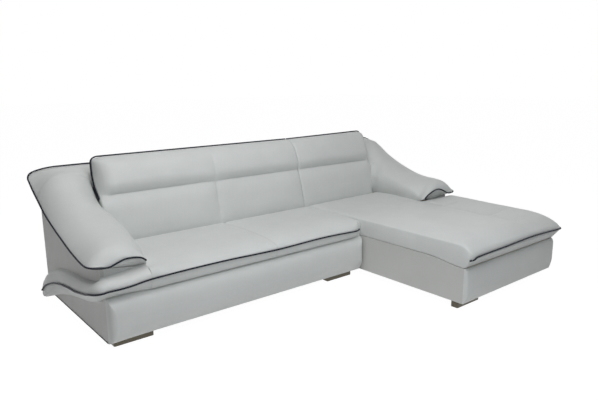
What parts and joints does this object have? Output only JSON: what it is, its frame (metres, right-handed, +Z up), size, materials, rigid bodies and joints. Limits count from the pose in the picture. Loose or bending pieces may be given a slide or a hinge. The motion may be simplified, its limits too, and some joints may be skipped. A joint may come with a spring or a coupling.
{
  "type": "leather corner sofa",
  "caption": "Leather corner sofa with a seat section and a chaise that lift apart at the seam, sloping padded arms, piped lips and low bar feet.",
  "frame": {"origin": "on the floor under the centre of the sofa's box", "axes": "+X to the right of someone who looks at the front of the seats, -Y out of the front, +Z up"},
  "size_m": [2.8458, 1.8171, 0.8835],
  "materials": {
    "leather": "soft matt grained leather, near-white with a cool grey cast",
    "panel_leather": "matt leather stretched flat over padded board",
    "piping": "dark navy leather piping",
    "timber": "planed softwood",
    "webbing": "woven elastic webbing",
    "foam": "dense upholstery foam",
    "foot_metal": "dark bronzed metal, satin",
    "steel": "zinc plated",
    "dust_cover": "black non-woven cloth"
  },
  "bodies": {
    "sofa": {"sofa_front_rail": "timber", "sofa_rear_rail": "timber", "sofa_end_rails": "timber", "sofa_cross_rails": "timber", "sofa_spring_rail": "timber", "sofa_seat_webbing": "webbing", "sofa_seat_deck": "foam", "sofa_seat_pad": "leather", "left_wing_pad": "leather", "sofa_seat_piping": "piping", "sofa_base_front": "leather", "left_side_panel": "panel_leather", "sofa_rear_panel": "panel_leather", "sofa_seam_panel": "panel_leather", "sofa_back_posts": "timber", "sofa_back_rails": "timber", "sofa_back_webbing": "webbing", "sofa_back_cushion": "leather", "sofa_back_piping": "piping", "left_arm_frame": "timber", "left_arm_facing": "leather", "left_arm_pad": "leather", "left_arm_piping": "piping", "sofa_foot_front_left": "foot_metal", "sofa_foot_front_right": "foot_metal", "sofa_foot_rear_left": "foot_metal", "sofa_foot_rear_right": "foot_metal", "sofa_foot_bolts": "steel", "sofa_connector_sockets": "steel", "sofa_dust_cover": "dust_cover"},
    "chaise": {"chaise_front_rail": "timber", "chaise_rear_rail": "timber", "chaise_side_rails": "timber", "chaise_cross_rails": "timber", "chaise_spring_rail": "timber", "chaise_seat_webbing": "webbing", "chaise_seat_deck": "foam", "chaise_seat_pad": "leather", "right_wing_pad": "leather", "chaise_seat_piping": "piping", "chaise_base_front": "leather", "right_side_panel": "panel_leather", "chaise_rear_panel": "panel_leather", "chaise_seam_panel": "panel_leather", "chaise_back_posts": "timber", "chaise_back_rails": "timber", "chaise_back_webbing": "webbing", "chaise_back_cushion": "leather", "chaise_back_piping": "piping", "right_arm_frame": "timber", "right_arm_facing": "leather", "right_arm_pad": "leather", "right_arm_piping": "piping", "chaise_foot_front_left": "foot_metal", "chaise_foot_front_right": "foot_metal", "chaise_foot_rear_left": "foot_metal", "chaise_foot_rear_right": "foot_metal", "chaise_foot_bolts": "steel", "chaise_connector_tongues": "steel", "chaise_dust_cover": "dust_cover"}
  },
  "joints": [
    {"name": "chaise_lift", "type": "slide", "parent": "sofa", "child": "chaise", "axis": [0, 0, 1], "range_m": [0, 0.04]}
  ]
}
